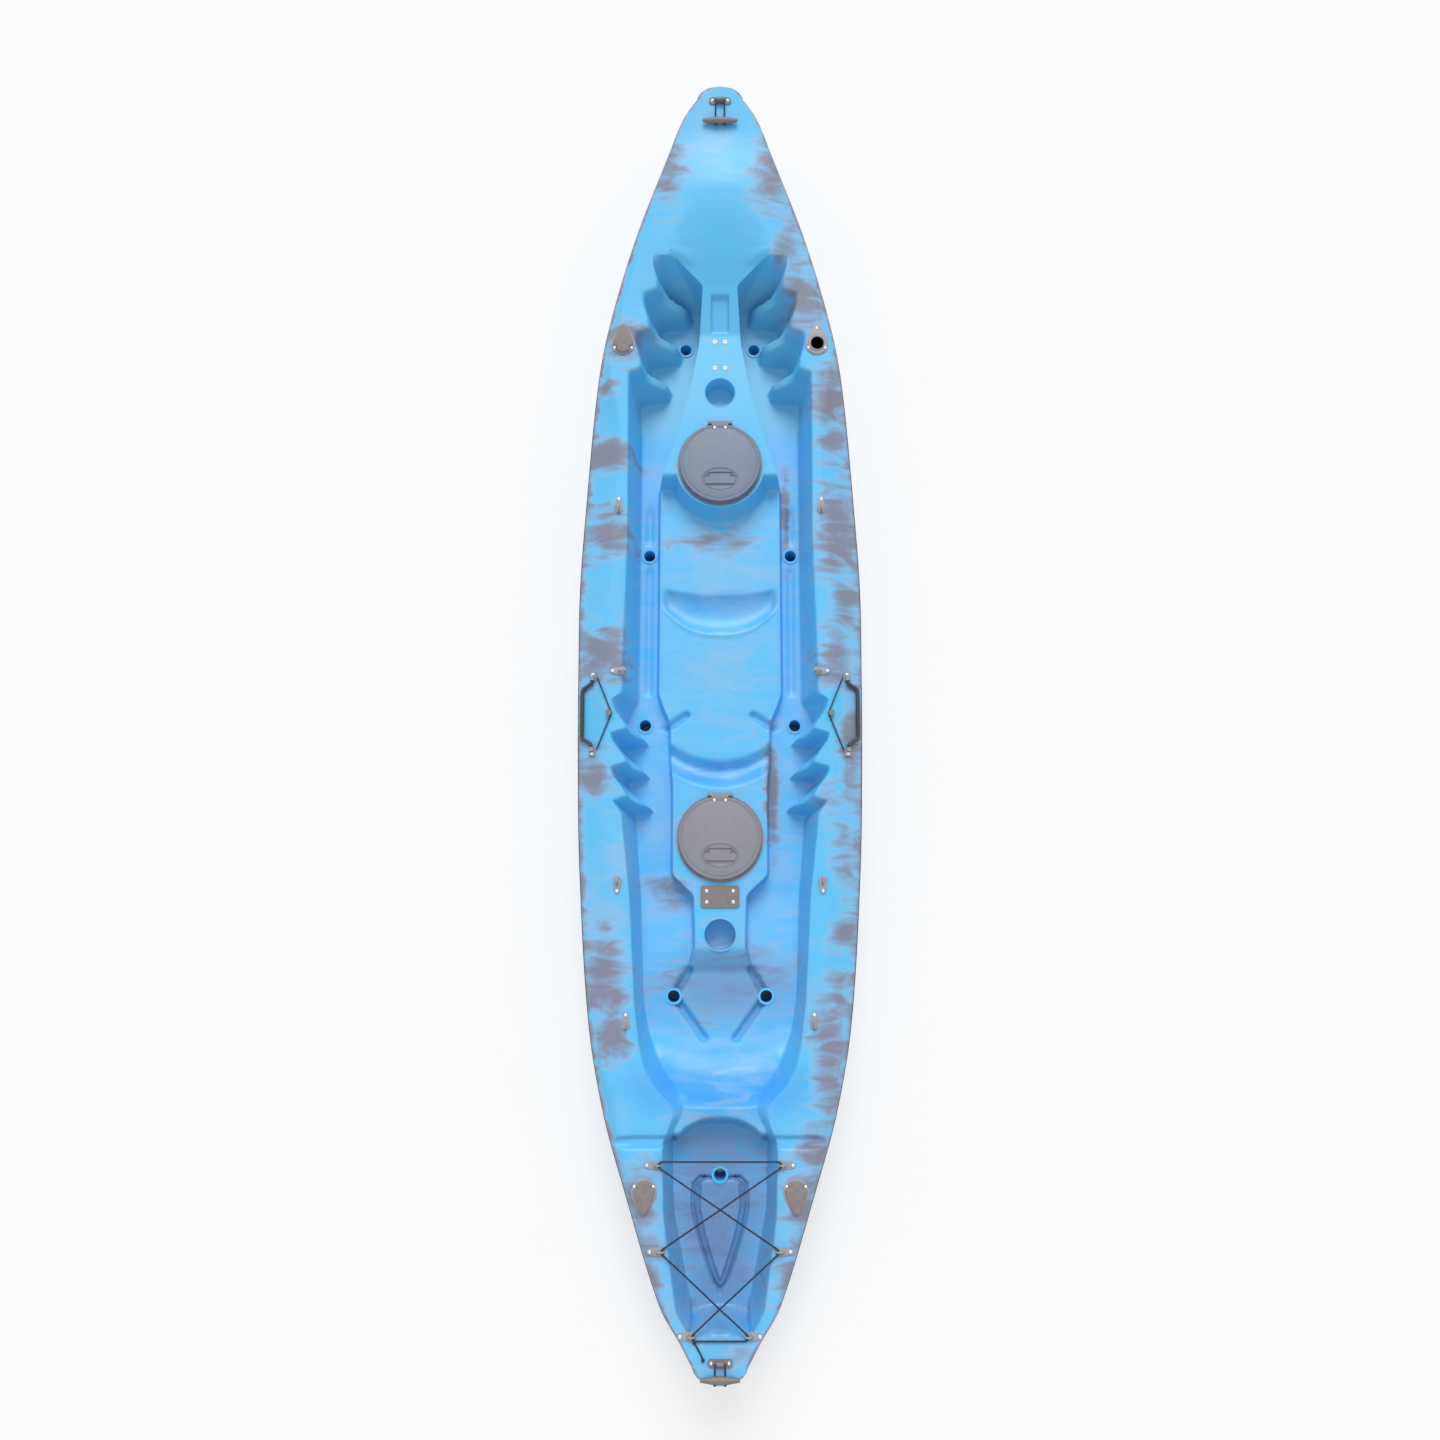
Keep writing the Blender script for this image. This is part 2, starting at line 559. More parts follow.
def placed(part, *matrices):
    """A part copied to each matrix, as a bmesh of its own."""
    return stamp(bmesh.new(), part, matrices)


def gathered(first, *others):
    """One bmesh from several parts."""
    for part in others:
        stamp(first, part, [Matrix.Identity(4)])
    return first


def piece(name, bm, body, slot, nodes=(), angle=38, recalculate=True, finish=None):
    """Finishes a shape as a piece that rides on a body and stands for the nodes."""
    bmesh.ops.scale(bm, verts=bm.verts, vec=(MM, MM, MM))
    bmesh.ops.remove_doubles(bm, verts=bm.verts, dist=1e-6)
    if recalculate:
        bmesh.ops.recalc_face_normals(bm, faces=bm.faces)
    mesh = meshed(name, bm)
    mesh.shade_smooth()
    mesh.set_sharp_from_angle(angle=math.radians(angle))
    mesh.materials.append(FINISHES[finish or slot])
    made = added(name, mesh)
    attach(made, body)
    if nodes:
        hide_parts(*nodes)
    return made


# The deck
class DeckRow:
    """The deck's section at one station."""

    def __init__(self, y):
        self.y = y
        tip = HALF_LENGTH - TIP
        w = half_width(min(tip, max(-tip, y)))
        self.w = w * math.sqrt(max(0, 1 - max(0, (abs(y) - tip) / TIP) ** 2))
        self.side, self.gunwale, self.crown = side_deck(y), gunwale(y), crown(y)
        w = max(self.w, 1)
        self.island = min(ISLAND_MOST * w, eased(ISLAND, y))
        self.foot = min(FOOT_MOST * w, self.island + 10)
        self.low = eased(FLOOR_TOP, y)
        outline = self.well_wall(w)
        self.bed, self.rim = outline[0], outline[-1]
        self.crease = max(1.03 * self.rim, crease(y, w))
        low = self.floor(self.bed)
        rise = self.level(self.rim) - low
        self.wall = [(x, low + rise * ramp(k / WALL_STEPS)) for k, x in enumerate(outline)]

    def well_wall(self, w):
        """Offsets of the well's side wall from floor to deck, stepped by the foot braces."""
        y, xs = self.y, [1.02 * self.foot - 0.2]
        reach = 10 + 14 * smooth(980, 1060, -y)
        bed = min(BED_MOST * w, eased(WELL_FLOOR, y, reach))
        rim = min(RIM_MOST * w, eased(WELL_EDGE, y, reach))
        for k in range(WALL_STEPS + 1):
            up = k / WALL_STEPS
            x = bed + (rim - bed) * up
            for first, pitch, top_depth, foot_depth, lag, *rise in BRACES:
                start, end = (a + (b - a) * up for a, b in zip(rise, BRACE_TOP))
                at = y + lag * (1 - up)
                share = sum(self.brace(at + d, first, pitch, start, end) for d in (-3, 0, 3)) / 3
                x -= share * (foot_depth + (top_depth - foot_depth) * smooth(0.3, 0.65, up))
            xs.append(max(xs[-1] + 0.2, x))
        return xs[1:]

    @staticmethod
    def brace(y, first, pitch, start, end):
        """Share of a brace that stands into the well, rising between two shares of its pitch."""
        v = (first - y) / pitch
        if v < 0 or v > BRACE_COUNT:
            return 0
        f, face = v - math.floor(v), BRACE_FACE / pitch
        return ramp((1 - f) / face, 0.4) if f > 1 - face else ramp((f - start) / (end - start), 0.3)

    def level(self, x):
        """Height of the undisturbed deck."""
        return section(x, self.crease, self.w, self.side, self.gunwale, self.crown)

    def top(self, x):
        """Height of the raised middle, with a round platform for the hatch and an arched seat pan."""
        y = self.y
        length, offset = PAN_BOW
        at = y - length * (x / offset) ** 2 * smooth(*PAN_RISE, y) * (1 - smooth(*PAN_FALL, y))
        if y < LEDGE_Y:
            length, offset, power = TANK_BOW
            at = min(LEDGE_Y, y + length * min(1, x / offset) ** power)
        elif y < -BACK_START[0]:
            length, offset, power = BACK_BOW
            share = min(1, max(0, x - BACK_FROM) / offset) ** power
            at = max(LEDGE_Y, y - length * share * smooth(*BACK_START, -y))
        reach = ROUNDING + BACK_ROUNDING * smooth(*BACK_RISE, -at) * (1 - smooth(*BACK_FALL, -at))
        top = eased(ISLAND_TOP, at, reach)
        inner, outer = PLATFORM
        aft = HATCHES[0][1] - y
        if 0 < aft < outer - 1:
            platform = 1 - min(1, max(0, (math.hypot(x, aft) - inner - 1) / (outer - inner)))
            top = PAN + (CONSOLE - PAN) * max(platform ** 2, 1 - smooth(*CONSOLE_END, aft))
        if y > FORE_END[0]:
            top += max(0, self.level(x) - top) * smooth(0.3, 1, x / self.island) * smooth(*FORE_END, y)
        return top

    def floor(self, x):
        """Height of the floor beside the raised middle, which is one with it aft of the rear console."""
        return self.top(x) if self.y < ONE_FLOOR else self.low

    def height(self, x):
        """Height of the finished deck."""
        x = abs(x)
        island, foot, bed, rim = self.island, self.foot, self.bed, self.rim
        level = self.level(x)
        if x <= island:
            z = self.top(x)
        elif x <= foot:
            top, low = self.top(island), self.floor(foot)
            z = top + (low - top) * ramp((x - island) / (foot - island))
        elif x <= bed:
            z = self.floor(x)
        elif x <= rim:
            z = look(self.wall, x)
        else:
            z = level
        rounding = max(0.1, 40 * (1 - smooth(0.5, 1, x / island))) if self.y > 1160 else 0.1
        near = max(0, 1 - abs(z - level) / rounding)
        return min(z, level) - near * near * rounding / 4 + carving(x, self.y)

    def columns(self):
        """Offsets of the section's points, closer where the section turns."""
        aft = HATCHES[0][1] - self.y
        inner, outer = (math.sqrt(r * r - aft * aft) if 0 < aft < r else 0 for r in PLATFORM)
        if outer > 4:
            stops = [(inner, 12), (min(outer, self.island - 1), 10), (self.island, 8)]
        else:
            stops = [(self.island, 30)]
        stops += [(self.foot, 4), (self.bed, 7), None, (self.crease, 6), (max(self.crease, self.w - 8), 4)]
        xs = [0]
        for stop in stops:
            if stop:
                start, (end, count) = xs[-1], stop
                xs += [start + max(0, end - start) * (k + 1) / count for k in range(count)]
            else:
                xs += [x for x, _ in self.wall[1:]]
        return xs


HALF_COLUMNS = len(DeckRow(0).columns()) - 1 + ROLL_STEPS


def off_segment(x, y, a, b):
    """Distance of a point from a segment."""
    dx, dy = b[0] - a[0], b[1] - a[1]
    t = min(1, max(0, ((x - a[0]) * dx + (y - a[1]) * dy) / (dx * dx + dy * dy)))
    return math.hypot(x - a[0] - t * dx, y - a[1] - t * dy)


def groove(distance, half, depth):
    """A rounded groove's fall at a distance from its middle."""
    t = distance / half
    return 0 if t >= 1 else -depth * (1 - t * t) ** 1.5


# Grooves of the seats and trough across the deck, as both ends, half width and depth
GROOVES = (((154, -84), (104, -50), 15, 20), ((139, -901), (94, -824), 15, 24),
           ((139, -901), (48, -1025), 15, 24))
TROUGH = (140, -1297), (282, -1297), 20, 15
# Pocket in the forward console, as half width, both ends and depth
POCKET = 27, 1171, 1273, 14
# Crescent across the seat: its half width, the stations of its aft and fore edge with their sweep at the
# sides, the offsets between which it ends, and the stations that it stays between
CRESCENT_HALF, CRESCENT_AFT, CRESCENT_FORE, CRESCENT_ENDS = 188, (215, 100), (330, 25), (158, 182)
CRESCENT_SPAN = 150, 380
# Ridge along its aft edge, as height, distance from the edge, half width and the offsets it ends between
RIDGE, RIDGE_BACK, RIDGE_HALF, RIDGE_ENDS = 4, 12, 6, (160, 182)
# Offset, half width and both ends of the gutters' grooves
GUTTER = 224, 14, 10, 650
# Lengths over which they fade in at those ends, and distances from a scupper between which they do
GUTTER_AFT, GUTTER_FORE, GUTTER_SCUPPER = 30, 50, (30, 55)
# Shield on the tank well's floor: its half width, the lines of its sides as inset, half width and depth,
# and the line of its top as station, half width, depth and the offsets between which it ends
SHIELD = rising((-1417, 58), (-1435, 76), (-1500, 80), (-1560, 68), (-1620, 50), (-1700, 22), (-1733, 0))
SHIELD_SIDES = (0, 6, 13), (15, 6, 11)
SHIELD_TOP = -1420, 7, 13, (54, 62)
# Share of a side's offset that counts as distance, ahead of its turn and aft of it
SHIELD_TURN, SHIELD_AHEAD, SHIELD_AFT = -1560, 0.8, 0.92
# Stations between which the sides' lines run out at the shield's point and begin at its top, and the box
# that the shield stays inside, as both stations and offset
SHIELD_POINT, SHIELD_START, SHIELD_BOX = (-1745, -1725), (1409, 1420), (-1760, -1400, 110)


def crescent(x, y, depth):
    """The curved trough across the seat, with a low ridge along its aft edge."""
    share = x / CRESCENT_HALF
    aft = CRESCENT_AFT[0] + CRESCENT_AFT[1] * share ** 2.6
    fore = CRESCENT_FORE[0] + CRESCENT_FORE[1] * share * share
    z = RIDGE * math.exp(-((y - aft + RIDGE_BACK) / RIDGE_HALF) ** 2) * (1 - smooth(*RIDGE_ENDS, x))
    if aft < y < fore:
        t = (y - aft) / (fore - aft)
        z -= depth * math.sin(math.pi * t ** 0.8) ** 0.7 * (1 - smooth(*CRESCENT_ENDS, x))
    return z


def shield(x, y):
    """Double lines of the shield's sides, and the single line of its top."""
    out = look(SHIELD, y) if y > SHIELD[0][0] else 0
    slope = SHIELD_AHEAD if y > SHIELD_TURN else SHIELD_AFT
    fade = smooth(*SHIELD_POINT, y) * smooth(*SHIELD_START, -y)
    top, half, depth, ends = SHIELD_TOP
    z = groove(abs(y - top), half, depth) * (1 - smooth(*ends, x))
    for inset, half, depth in SHIELD_SIDES:
        z += fade * groove(abs(x - max(0, out - inset)) * slope, half, depth)
    return z


def carving(x, y):
    """Small troughs, ridges and grooves moulded into the deck."""
    sizes = bpy.context.scene.kayak_sizes
    z = 0
    if CRESCENT_SPAN[0] < y < CRESCENT_SPAN[1] and x < CRESCENT_HALF:
        z += crescent(x, y, sizes.crescent_depth / MM)
    offset, half, aft, fore = GUTTER
    if aft < y < fore:
        fade = smooth(aft, aft + GUTTER_AFT, y) * smooth(-fore, GUTTER_FORE - fore, -y)
        fade *= smooth(*GUTTER_SCUPPER, abs(y - SCUPPERS[1][1]))
        z += fade * groove(abs(x - offset), half, sizes.gutter_depth / MM)
    half, aft, fore, depth = POCKET
    z -= depth * ramp((min(half - x, y - aft, fore - y) + 3) / 7)
    for a, b, half, depth in GROOVES:
        if min(a[1], b[1]) - half < y < max(a[1], b[1]) + half:
            z += groove(off_segment(x, y, a, b), half, depth)
    a, b, half, depth = TROUGH
    if abs(y - a[1]) < half:
        z -= depth * ramp((half - off_segment(x, y, a, b)) / 11)
    aft, fore, half = SHIELD_BOX
    if aft < y < fore and x < half:
        z += shield(x, y)
    return z


TIP_START, TIP_STEPS = HALF_LENGTH - TIP, 8


def stations(*stops):
    """Stations from bow to stern, in steps that suit each stretch, and closer round the tips."""
    ys = []
    for (start, step), (end, _) in zip(stops, stops[1:]):
        count = max(1, round((start - end) / step))
        ys += [start + (end - start) * k / count for k in range(count)]
    ys.append(stops[-1][0])
    past = [TIP * math.sin(math.pi / 2 * k / TIP_STEPS) for k in range(1, TIP_STEPS + 1)]
    return [ys[0] + d for d in reversed(past)] + ys + [ys[-1] - d for d in past]


def grid(columns, rows):
    """A flat grid, and each of its points with its column and row."""
    bm = bmesh.new()
    bmesh.ops.create_grid(bm, x_segments=columns, y_segments=rows, size=1)
    return bm, [(v, round((v.co.x + 1) / 2 * columns), round((v.co.y + 1) / 2 * rows)) for v in bm.verts]


def cut_round(bm, x, y, radius, height):
    """Cuts a round hole: faces inside go, and the edge left is drawn to the circle."""
    centre = Vector((x, y))
    inside = [f for f in bm.faces if (f.calc_center_median().xy - centre).length < radius]
    edge = {v for f in inside for v in f.verts}
    bmesh.ops.delete(bm, geom=inside, context="FACES")
    for v in edge:
        if v.is_valid and v.link_faces:
            away = (v.co.xy - centre).normalized() * radius
            v.co = (x + away.x, y + away.y, height(x + away.x, y + away.y))


def cut_scuppers(bm, height):
    """Cuts the holes that the scupper tubes end in."""
    for x, y in SCUPPERS:
        for side in (-1, 1):
            cut_round(bm, side * x, y, SCUPPER_HOLE, height)
    cut_round(bm, 0, TANK_SCUPPER_Y, SCUPPER_HOLE, height)


def patch_strength(patches, x, y):
    """Strength of the nearest of some soft round patches."""
    most = 0
    for px, py, rx, ry, strength in patches:
        d = ((x - px) / rx) ** 2 + ((y - py) / ry) ** 2
        if d < 4:
            most = max(most, strength * math.exp(-0.7 * d))
    return most


def paint(made, values):
    """Stores lists of numbers on a piece's points, by name."""
    for name, numbers in values.items():
        attribute = made.data.attributes.new(name, "FLOAT", "POINT")
        attribute.data.foreach_set("value", numbers)


# Stations between which the footwells' own colour begins, depth of a well at its fullest, and the most that
# smoke at the gunwale and haze in the other wells come to
FOOTWELL_START, FULL_DEPTH, EDGE_SMOKE, WELL_HAZE = (720, 980), 150, 0.75, 0.5


def paint_moulding(made):
    """Stores how deep each point lies in a footwell, and the strength of the patches there."""
    rows, values = {}, {name: [] for name in ("depth", *PATCHES)}
    for v in made.data.vertices:
        x, y, z = (c / MM for c in v.co)
        key = round(y, 1)
        row = rows.get(key) or rows.setdefault(key, DeckRow(y))
        footwell = smooth(*FOOTWELL_START, y)
        deep = min(1, max(0, (row.level(abs(x)) - z) / FULL_DEPTH))
        edge = EDGE_SMOKE * smooth(row.w - 22, row.w - 3, abs(x)) if row.w > 30 else 0
        found = {name: patch_strength(patches, x, y) for name, patches in PATCHES.items()}
        found["depth"] = footwell * deep
        found["smoke"] = max(edge, found["smoke"] * (1 - 0.75 * footwell * deep))
        found["haze"] = max(WELL_HAZE * deep * (1 - footwell), found["haze"])
        for name, value in found.items():
            values[name].append(value)
    paint(made, values)


class KAYAK_OT_deck(bpy.types.Operator):
    """Deck moulding with its wells, seats, consoles and cup holders."""

    bl_idname = "kayak.deck"
    bl_label = "Deck"

    def execute(self, context):
        ys = stations((TIP_START, 12), (1440, 4.5), (990, 6), (735, 5), (604, 2.2), (574, 5), (560, 9),
                      (380, 5), (180, 9), (30, 4.5), (-340, 7), (-800, 5), (-1050, 6), (-1240, 4.5),
                      (-1320, 7), (-1400, 5), (-1830, 10), (-TIP_START, 10))
        bm, places = grid(2 * HALF_COLUMNS, len(ys) - 1)
        rows = [DeckRow(y) for y in reversed(ys)]
        columns = [row.columns() for row in rows]
        for v, column, number in places:
            row, k = rows[number], column - HALF_COLUMNS
            side, k = (1 if k >= 0 else -1), abs(k)
            xs = columns[number]
            if k < len(xs):
                x = xs[k]
                z = row.height(x)
            else:
                turn = math.pi / 2 * (k - len(xs) + 1) / ROLL_STEPS
                start = xs[-1]
                x = start + (row.w - start) * math.sin(turn)
                high, low = row.level(start), row.gunwale - WALL
                z = low + (high - low) * math.cos(turn)
            v.co = (side * x, row.y, z)

        def height(x, y):
            return DeckRow(y).height(x)

        cut_scuppers(bm, height)
        holes = [(0, y, HATCH_HOLE) for _, y, _ in HATCHES] + [(0, y, CUP_HOLE) for y, _ in CUPS]
        for x, y, radius in holes + [(x, y, HOLDER_HOLE) for _, x, y, _ in ROD_HOLDERS]:
            cut_round(bm, x, y, radius, height)
        paint_moulding(piece("deck_moulding", bm, "boat", "moulding", ["deck_shell"], 50, False))
        depth = context.scene.kayak_sizes.cup_depth / MM
        cup = turned([(0, -depth), (38, -depth), (43, -depth + 2), (45, -depth + 7), (46, -2), (46.6, 0.2),
                      (48.2, 1.0), (50, 0.6), (51.5, -0.6), (49, -2.5), (48, -depth - 3), (0, -depth - 3)])
        cups = placed(cup, *(Matrix.Translation((0, y, z)) for y, z in CUPS))
        paint_moulding(piece("cup_holders", cups, "boat", "moulding"))
        return {"FINISHED"}


# The hull, as sections that go from a flat bottom to a keeled bow and stern
FLAT_SECTION = ((0, 0), (0.3, 0), (0.58, 0), (0.74, 0.03), (0.85, 0.12), (0.93, 0.3), (0.975, 0.58), (1, 1))
KEEL_SECTION = ((0, 0), (0.05, 0.01), (0.13, 0.04), (0.28, 0.12), (0.46, 0.25), (0.66, 0.44), (0.85, 0.7),
                (1, 1))
HULL_COLUMNS = 36
# Shares of the half length between which the keel comes in, and the most of it at the stern
KEELED, STERN_KEEL = (0.45, 0.95), 0.5
# Height of the gap between hull and deck, which the seam's bead lies in
SEAM_GAP = 0.4


def hull_point(row, share):
    """A point of the hull's half section, its share running from the keel to the gunwale."""
    v = smooth(*KEELED, abs(row.y) / HALF_LENGTH) * (1 if row.y > 0 else STERN_KEEL)
    across, up = [], []
    for i, (flat, keeled) in enumerate(zip(FLAT_SECTION, KEEL_SECTION)):
        across.append((i, flat[0] * (1 - v) + keeled[0] * v))
        up.append((i, flat[1] * (1 - v) + keeled[1] * v))
    at = share * (len(across) - 1)
    base, top = keel(row.y), row.gunwale - WALL - SEAM_GAP
    return row.w * curve(across, at), base + (top - base) * max(0, curve(up, at))


class KAYAK_OT_hull(bpy.types.Operator):
    """Hull moulding and the dark bead in the gunwale seam."""

    bl_idname = "kayak.hull"
    bl_label = "Hull"

    def execute(self, context):
        ys = stations((TIP_START, 10), (800, 16), (-800, 10), (-TIP_START, 10))
        rows = [DeckRow(y) for y in reversed(ys)]
        bm, places = grid(2 * HULL_COLUMNS, len(rows) - 1)
        for v, column, number in places:
            k = column - HULL_COLUMNS
            x, z = hull_point(rows[number], abs(k) / HULL_COLUMNS)
            v.co = (math.copysign(x, k), rows[number].y, z)

        def height(x, y):
            row = DeckRow(y)
            low, high = 0, 1
            for _ in range(20):
                middle = (low + high) / 2
                low, high = (middle, high) if hull_point(row, middle)[0] < abs(x) else (low, middle)
            return hull_point(row, low)[1]

        cut_scuppers(bm, height)
        bmesh.ops.reverse_faces(bm, faces=bm.faces)
        made = piece("hull_moulding", bm, "boat", "moulding", ["hull_shell"], 60, False)
        spots = [v.co / MM for v in made.data.vertices]
        paint(made, {"smoke": [0.55 * patch_strength(PATCHES["smoke"], p.x, p.y) for p in spots]})
        seam = [(row.w, row.y, row.gunwale - WALL - SEAM_GAP / 2) for row in rows[::2] if row.w > 12]
        path = seam + [(-x, y, z) for x, y, z in reversed(seam)]
        bead = tube(path, context.scene.kayak_sizes.seam_radius / MM, True, 8)
        piece("gunwale_seam", bead, "boat", "gasket")
        return {"FINISHED"}


# Screws
SCREW_HEAD, SCREW_SHANK = 5.5, 2.2


def screws(name, node, body, frames, spots, length):
    """All the screws of one node, domed and with a round drive: a screw at each spot of each frame."""
    screw = turned([(0, 1.2), (1.7, 1.2), (2.0, 2.9), (3.4, 2.6), (4.6, 1.8), (SCREW_HEAD - 0.15, 0.8),
                    (SCREW_HEAD, 0.3), (SCREW_SHANK, 0.3), (SCREW_SHANK, -length), (0, -length)], 20)
    matrices = [m @ Matrix.Translation(s) for m in frames for s in spots]
    piece(name, placed(screw, *matrices), body, "steel", [node])


# Hatches, drawn about their own middle
LID_RADIUS, LID_Z, LID_PLATE, KNUCKLE, KNUCKLE_HALF = 125, 16, 5, 6, 25
LATCH_Y, LATCH_HALF, LATCH_RADIUS = -54, 27, 22.6
LID_STEPS, OVAL_HALF_X, OVAL_HALF_Y = 72, 54, 34


def stadium_ring(half, radius, y, z, count):
    """Points of a stadium, one for each equal turn about its middle."""
    ring = []
    for a in turns(count):
        c, s = math.cos(a), math.sin(a)
        flat = radius / abs(s) if abs(s) > 1e-6 else math.inf
        if abs(c) * flat <= half:
            reach = flat
        else:
            reach = half * abs(c) + math.sqrt(max(0, radius * radius - (half * s) ** 2))
        ring.append((reach * c, y + reach * s, z))
    return ring


def oval_ring(half_x, half_y, x, y, z, count):
    """Points of a level oval."""
    return [(x + half_x * math.cos(a), y + half_y * math.sin(a), z) for a in turns(count)]


def circle_ring(radius, x, y, z, count):
    """Points of a level circle."""
    return oval_ring(radius, radius, x, y, z, count)


def hatch_lid():
    """A lid with a rolled rim, a groove, an oval recess for its latch and a hinge knuckle."""
    top = LID_Z + LID_PLATE
    profile = ((LID_RADIUS - 5, LID_Z), (LID_RADIUS - 5, 7), (LID_RADIUS - 0.6, 7), (LID_RADIUS, 7.8),
               (LID_RADIUS, top - 2.5), (LID_RADIUS - 0.8, top - 0.8), (LID_RADIUS - 2.4, top),
               (LID_RADIUS - 5, top), (LID_RADIUS - 6.2, top - 1.6), (LID_RADIUS - 10, top - 1.8),
               (LID_RADIUS - 11.4, top - 0.4), (LID_RADIUS - 13, top))
    rings = [circle_ring(0.1, 0, 0, LID_Z, LID_STEPS)]
    rings += [circle_ring(r, 0, 0, z, LID_STEPS) for r, z in profile]
    for grown, z in ((3.4, top), (2.2, top - 2.2), (0.4, top - 2.4), (-0.6, top - 1)):
        rings.append(oval_ring(OVAL_HALF_X + grown, OVAL_HALF_Y + grown, 0, LATCH_Y, z, LID_STEPS))
    for grown, z in ((1.6, top - 0.9), (0.5, top - 1.2), (0, top - 2.2), (0, top - 8.4)):
        rings.append(stadium_ring(LATCH_HALF, LATCH_RADIUS + grown, LATCH_Y, z, LID_STEPS))
    plate = loft(rings)
    hinge_y, hinge_z = LID_RADIUS + KNUCKLE, top - KNUCKLE
    tab = block((-KNUCKLE_HALF, LID_RADIUS - 12, LID_Z), (KNUCKLE_HALF, hinge_y, top + 0.6), 0.6)
    roll = turned([(0, -KNUCKLE_HALF), (KNUCKLE - 0.5, -KNUCKLE_HALF), (KNUCKLE, 0.5 - KNUCKLE_HALF),
                   (KNUCKLE, KNUCKLE_HALF - 0.5), (KNUCKLE - 0.5, KNUCKLE_HALF), (0, KNUCKLE_HALF)], 32, "X")
    bmesh.ops.translate(roll, verts=roll.verts, vec=(0, hinge_y, hinge_z))
    return gathered(plate, tab, roll)


class KAYAK_OT_hatches(bpy.types.Operator):
    """Hatch lids and their hinge screws."""

    bl_idname = "kayak.hatches"
    bl_label = "Hatches"

    def execute(self, context):
        for name, y, z in HATCHES:
            place = Matrix.Translation((0, y, z))
            slot = name + "_hatch_grey"
            piece(name + "_hatch_lid", placed(hatch_lid(), place), name + "_lid", slot, [name + "_lid"])
            spots = [(s * 17, LID_RADIUS - 12, LID_Z + LID_PLATE + 0.4) for s in (-1, 1)]
            screws(name + "_hatch_screws", name + "_hinge_screws", name + "_lid", [place], spots, 3)
        return {"FINISHED"}


# Rod holders, drawn about the middle of their flange with its narrow end along +Y
FLANGE, TAIL, TAIL_RADIUS, FLANGE_PLATE = 36, 48, 14, 4
ROD_BORE, ROD_WALL, ROD_DEPTH, ROD_LEAN, COLLAR, COLLAR_TOP = 20.5, 3, 127, 14, 24, 6.5
ROD_STEPS, NOTCH, SCREW_RING = 64, 6.5, FLANGE - 5.8
ROD_SCREWS = [(SCREW_RING * math.cos(math.radians(a)), SCREW_RING * math.sin(math.radians(a)), FLANGE_PLATE)
              for a in (210, 330)] + [(0, TAIL, FLANGE_PLATE)]


def teardrop(near, far, reach, z, count=ROD_STEPS, notch=0):
    """Points round a wide and a narrow circle, with a notch at each of the two wide end screws."""
    ring = []
    for a in turns(count):
        c, s = math.cos(a), math.sin(a)
        out = near
        for i in range(1, 33):
            at, radius = reach * i / 32, near + (far - near) * i / 32
            inside = radius * radius - (at * c) ** 2
            if inside > 0:
                out = max(out, at * s + math.sqrt(inside))
        for x, y, _ in ROD_SCREWS[:2] if notch else ():
            inside = notch * notch - (x * s - y * c) ** 2
            if inside > 0 and x * c + y * s > 0:
                out = min(out, x * c + y * s - math.sqrt(inside))
        ring.append((out * c, out * s, z))
    return ring


def rod_holder(lean):
    """Flange, collar and leaning bore of a rod holder."""
    def bore(radius, z):
        return circle_ring(radius, math.tan(lean) * z, 0, z, ROD_STEPS)

    rings = [bore(ROD_BORE + ROD_WALL, z) for z in (-ROD_DEPTH - ROD_WALL, -1.5)]
    plate, top = FLANGE_PLATE, COLLAR_TOP
    rings += [teardrop(FLANGE - d, TAIL_RADIUS - d, TAIL, z)
              for d, z in ((0, -1.5), (0, plate - 1), (0.4, plate - 0.3), (1.2, plate))]
    rings += [circle_ring(COLLAR + d, 0, 0, z, ROD_STEPS)
              for d, z in ((0.6, plate), (0, plate + 0.6), (0, top - 0.6), (-0.6, top))]
    rings += [bore(ROD_BORE + d, z) for d, z in ((0.6, top), (0, top - 0.8), (0, top - 7), (0, -ROD_DEPTH))]
    return loft(rings)


def rod_cap():
    """A teardrop cover with a soft edge, notched for the two screws at its wide end."""
    rings = [teardrop(26, 8, TAIL, 4.6, notch=NOTCH)]
    for grown, z in ((0, 4.4), (0, 7.4), (-0.7, 8.7), (-2.2, 9.5), (-5, 9.9), (-11, 10.1)):
        rings.append(teardrop(FLANGE - 5 + grown, max(1, TAIL_RADIUS - 2 + grown), TAIL + min(0, grown), z,
                              notch=NOTCH - 0.6 * grown))
    return loft(rings)


class KAYAK_OT_rod_holders(bpy.types.Operator):
    """Four rod holders, three caps and their screws."""

    bl_idname = "kayak.rod_holders"
    bl_label = "Rod holders"

    def execute(self, context):
        frames = []
        for name, x, y, turn in ROD_HOLDERS:
            place = on_deck(x, y, turn)
            frames.append(place)
            lean = math.radians(ROD_LEAN) * (1 if x > 0 else -1) * (-1 if turn else 1)
            made = piece("holder_" + name, placed(rod_holder(lean), place), "boat", "holder_black",
                         ["rod_holder_" + name])
            dark = []
            for v in made.data.vertices:
                p = place.inverted() @ (v.co / MM)
                inside = math.hypot(p.x - math.tan(lean) * p.z, p.y) < ROD_BORE + 1
                dark.append(smooth(-5, 0, COLLAR_TOP - 6 - p.z) if inside else 0)
            paint(made, {"bore": dark})
            if name != "front_right":
                cap = placed(rod_cap(), place)
                piece("cover_" + name, cap, name + "_cap", "cap_grey", ["rod_cap_" + name])
        screws("holder_screws", "rod_screws", "boat", frames, ROD_SCREWS, 11)
        return {"FINISHED"}


